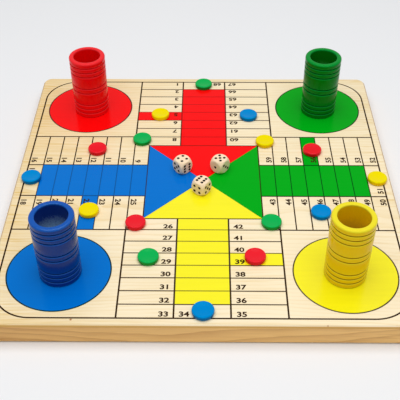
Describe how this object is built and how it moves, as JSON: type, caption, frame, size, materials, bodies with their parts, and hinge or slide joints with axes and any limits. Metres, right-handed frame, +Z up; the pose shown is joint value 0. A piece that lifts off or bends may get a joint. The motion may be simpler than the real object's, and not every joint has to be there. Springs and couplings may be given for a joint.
{
  "type": "parchis board game set",
  "caption": "Square wooden parchis board with an engraved and coloured field, turned cups in the corner homes, round counters on the cells and wooden dice.",
  "frame": {"origin": "centre of the board's underside, where the set rests", "axes": "+Z up, -Y towards the player whose end cell is 34, +X to that player's right"},
  "size_m": [0.4, 0.4, 0.0961],
  "materials": {
    "pine": "clear satin lacquer over planed pine, field lines engraved and stained dark brown",
    "beech_die": "waxed pale hardwood with black pips",
    "red_cup": "red gloss lacquer over turned wood",
    "red_counter": "red satin lacquer over turned wood",
    "green_cup": "green gloss lacquer over turned wood",
    "green_counter": "green satin lacquer over turned wood",
    "blue_cup": "blue gloss lacquer over turned wood",
    "blue_counter": "blue satin lacquer over turned wood",
    "yellow_cup": "yellow gloss lacquer over turned wood",
    "yellow_counter": "yellow satin lacquer over turned wood"
  },
  "bodies": {
    "board": {"board": "pine"},
    "cup_blue": {"cup_blue": "blue_cup"},
    "cup_yellow": {"cup_yellow": "yellow_cup"},
    "cup_green": {"cup_green": "green_cup"},
    "cup_red": {"cup_red": "red_cup"},
    "counter_green_1": {"counter_green_1": "green_counter"},
    "counter_green_2": {"counter_green_2": "green_counter"},
    "counter_green_3": {"counter_green_3": "green_counter"},
    "counter_green_4": {"counter_green_4": "green_counter"},
    "counter_blue_1": {"counter_blue_1": "blue_counter"},
    "counter_blue_2": {"counter_blue_2": "blue_counter"},
    "counter_blue_3": {"counter_blue_3": "blue_counter"},
    "counter_blue_4": {"counter_blue_4": "blue_counter"},
    "counter_red_1": {"counter_red_1": "red_counter"},
    "counter_red_2": {"counter_red_2": "red_counter"},
    "counter_red_3": {"counter_red_3": "red_counter"},
    "counter_red_4": {"counter_red_4": "red_counter"},
    "counter_yellow_1": {"counter_yellow_1": "yellow_counter"},
    "counter_yellow_2": {"counter_yellow_2": "yellow_counter"},
    "counter_yellow_3": {"counter_yellow_3": "yellow_counter"},
    "counter_yellow_4": {"counter_yellow_4": "yellow_counter"},
    "die_left": {"die_left": "beech_die"},
    "die_right": {"die_right": "beech_die"},
    "die_front": {"die_front": "beech_die"}
  },
  "joints": [
    {"name": "cup_blue_lift", "type": "slide", "parent": "board", "child": "cup_blue", "axis": [0, 0, 1], "range_m": [0, 0.1]},
    {"name": "cup_yellow_lift", "type": "slide", "parent": "board", "child": "cup_yellow", "axis": [0, 0, 1], "range_m": [0, 0.1]},
    {"name": "cup_green_lift", "type": "slide", "parent": "board", "child": "cup_green", "axis": [0, 0, 1], "range_m": [0, 0.1]},
    {"name": "cup_red_lift", "type": "slide", "parent": "board", "child": "cup_red", "axis": [0, 0, 1], "range_m": [0, 0.1]},
    {"name": "counter_green_1_lift", "type": "slide", "parent": "board", "child": "counter_green_1", "axis": [0, 0, 1], "range_m": [0, 0.09]},
    {"name": "counter_green_2_lift", "type": "slide", "parent": "board", "child": "counter_green_2", "axis": [0, 0, 1], "range_m": [0, 0.09]},
    {"name": "counter_green_3_lift", "type": "slide", "parent": "board", "child": "counter_green_3", "axis": [0, 0, 1], "range_m": [0, 0.09]},
    {"name": "counter_green_4_lift", "type": "slide", "parent": "board", "child": "counter_green_4", "axis": [0, 0, 1], "range_m": [0, 0.09]},
    {"name": "counter_blue_1_lift", "type": "slide", "parent": "board", "child": "counter_blue_1", "axis": [0, 0, 1], "range_m": [0, 0.09]},
    {"name": "counter_blue_2_lift", "type": "slide", "parent": "board", "child": "counter_blue_2", "axis": [0, 0, 1], "range_m": [0, 0.09]},
    {"name": "counter_blue_3_lift", "type": "slide", "parent": "board", "child": "counter_blue_3", "axis": [0, 0, 1], "range_m": [0, 0.09]},
    {"name": "counter_blue_4_lift", "type": "slide", "parent": "board", "child": "counter_blue_4", "axis": [0, 0, 1], "range_m": [0, 0.09]},
    {"name": "counter_red_1_lift", "type": "slide", "parent": "board", "child": "counter_red_1", "axis": [0, 0, 1], "range_m": [0, 0.09]},
    {"name": "counter_red_2_lift", "type": "slide", "parent": "board", "child": "counter_red_2", "axis": [0, 0, 1], "range_m": [0, 0.09]},
    {"name": "counter_red_3_lift", "type": "slide", "parent": "board", "child": "counter_red_3", "axis": [0, 0, 1], "range_m": [0, 0.09]},
    {"name": "counter_red_4_lift", "type": "slide", "parent": "board", "child": "counter_red_4", "axis": [0, 0, 1], "range_m": [0, 0.09]},
    {"name": "counter_yellow_1_lift", "type": "slide", "parent": "board", "child": "counter_yellow_1", "axis": [0, 0, 1], "range_m": [0, 0.09]},
    {"name": "counter_yellow_2_lift", "type": "slide", "parent": "board", "child": "counter_yellow_2", "axis": [0, 0, 1], "range_m": [0, 0.09]},
    {"name": "counter_yellow_3_lift", "type": "slide", "parent": "board", "child": "counter_yellow_3", "axis": [0, 0, 1], "range_m": [0, 0.09]},
    {"name": "counter_yellow_4_lift", "type": "slide", "parent": "board", "child": "counter_yellow_4", "axis": [0, 0, 1], "range_m": [0, 0.09]},
    {"name": "die_left_lift", "type": "slide", "parent": "board", "child": "die_left", "axis": [0, 0, 1], "range_m": [0, 0.09]},
    {"name": "die_right_lift", "type": "slide", "parent": "board", "child": "die_right", "axis": [0, 0, 1], "range_m": [0, 0.09]},
    {"name": "die_front_lift", "type": "slide", "parent": "board", "child": "die_front", "axis": [0, 0, 1], "range_m": [0, 0.09]}
  ]
}
